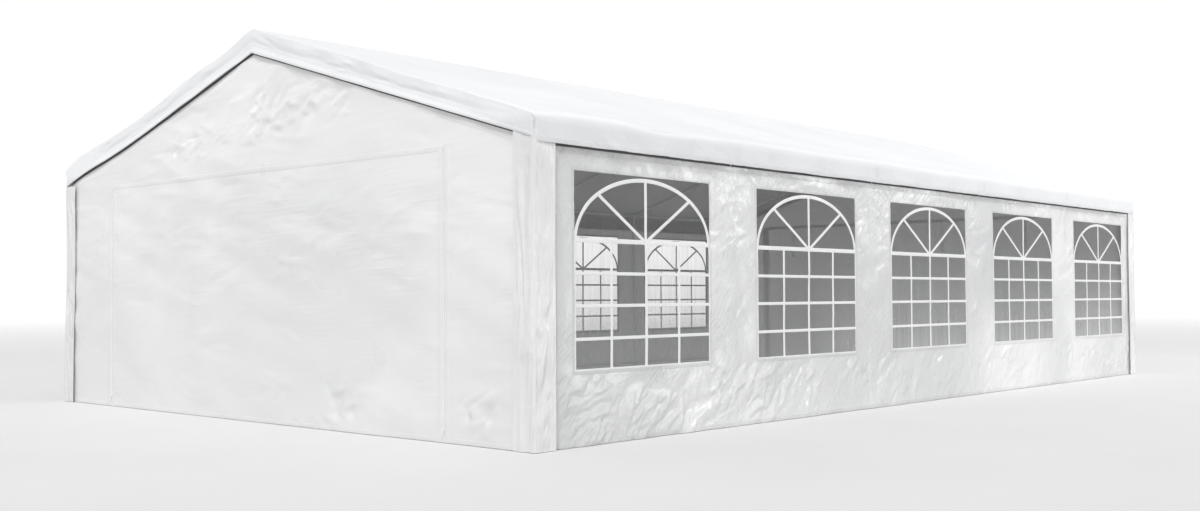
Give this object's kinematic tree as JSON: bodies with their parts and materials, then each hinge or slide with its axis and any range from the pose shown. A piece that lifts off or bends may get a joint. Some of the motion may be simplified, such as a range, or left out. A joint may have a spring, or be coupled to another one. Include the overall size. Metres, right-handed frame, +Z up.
{
  "type": "marquee tent",
  "caption": "Long white marquee tent on a steel tube frame: pitched sheet roof with valances, side walls with arched windows, gables with a zipped door panel.",
  "frame": {"origin": "on the ground, under the middle of the tent", "axes": "+Z up, +Y along the ridge, +X across it; the long windowed walls face +X and -X, the gables face +Y and -Y"},
  "size_m": [6.17, 10.17, 3.044],
  "materials": {
    "roof_cover": "white coated polyethylene sheet, semi-gloss, finely woven",
    "wall_sheet": "white coated polyethylene sheet, semi-gloss, creased",
    "door_sheet": "white coated polyethylene sheet, semi-gloss, lightly creased",
    "corner_sheet": "white coated polyethylene sheet, semi-gloss, with fold lines",
    "window_film": "clear flexible film with printed white glazing bars",
    "steel_tube": "white powder-coated steel tube, satin",
    "foot_steel": "galvanised pressed steel"
  },
  "bodies": {
    "root": {"roof_cover": "roof_cover", "gable_valance_front": "roof_cover", "gable_valance_back": "roof_cover", "wall_left": "wall_sheet", "wall_right": "wall_sheet", "wall_front": "door_sheet", "wall_back": "door_sheet", "door_panel_front": "door_sheet", "door_panel_back": "door_sheet", "window_left_1": "window_film", "window_left_2": "window_film", "window_left_3": "window_film", "window_left_4": "window_film", "window_left_5": "window_film", "window_right_1": "window_film", "window_right_2": "window_film", "window_right_3": "window_film", "window_right_4": "window_film", "window_right_5": "window_film", "corner_cover_front_left": "corner_sheet", "corner_cover_front_right": "corner_sheet", "corner_cover_back_left": "corner_sheet", "corner_cover_back_right": "corner_sheet", "leg_left_1": "steel_tube", "leg_left_2": "steel_tube", "leg_left_3": "steel_tube", "leg_left_4": "steel_tube", "leg_left_5": "steel_tube", "leg_left_6": "steel_tube", "leg_right_1": "steel_tube", "leg_right_2": "steel_tube", "leg_right_3": "steel_tube", "leg_right_4": "steel_tube", "leg_right_5": "steel_tube", "leg_right_6": "steel_tube", "rafters_1": "steel_tube", "rafters_2": "steel_tube", "rafters_3": "steel_tube", "rafters_4": "steel_tube", "rafters_5": "steel_tube", "rafters_6": "steel_tube", "ridge_purlin": "steel_tube", "eave_purlin_left": "steel_tube", "eave_purlin_right": "steel_tube"}
  },
  "joints": []
}
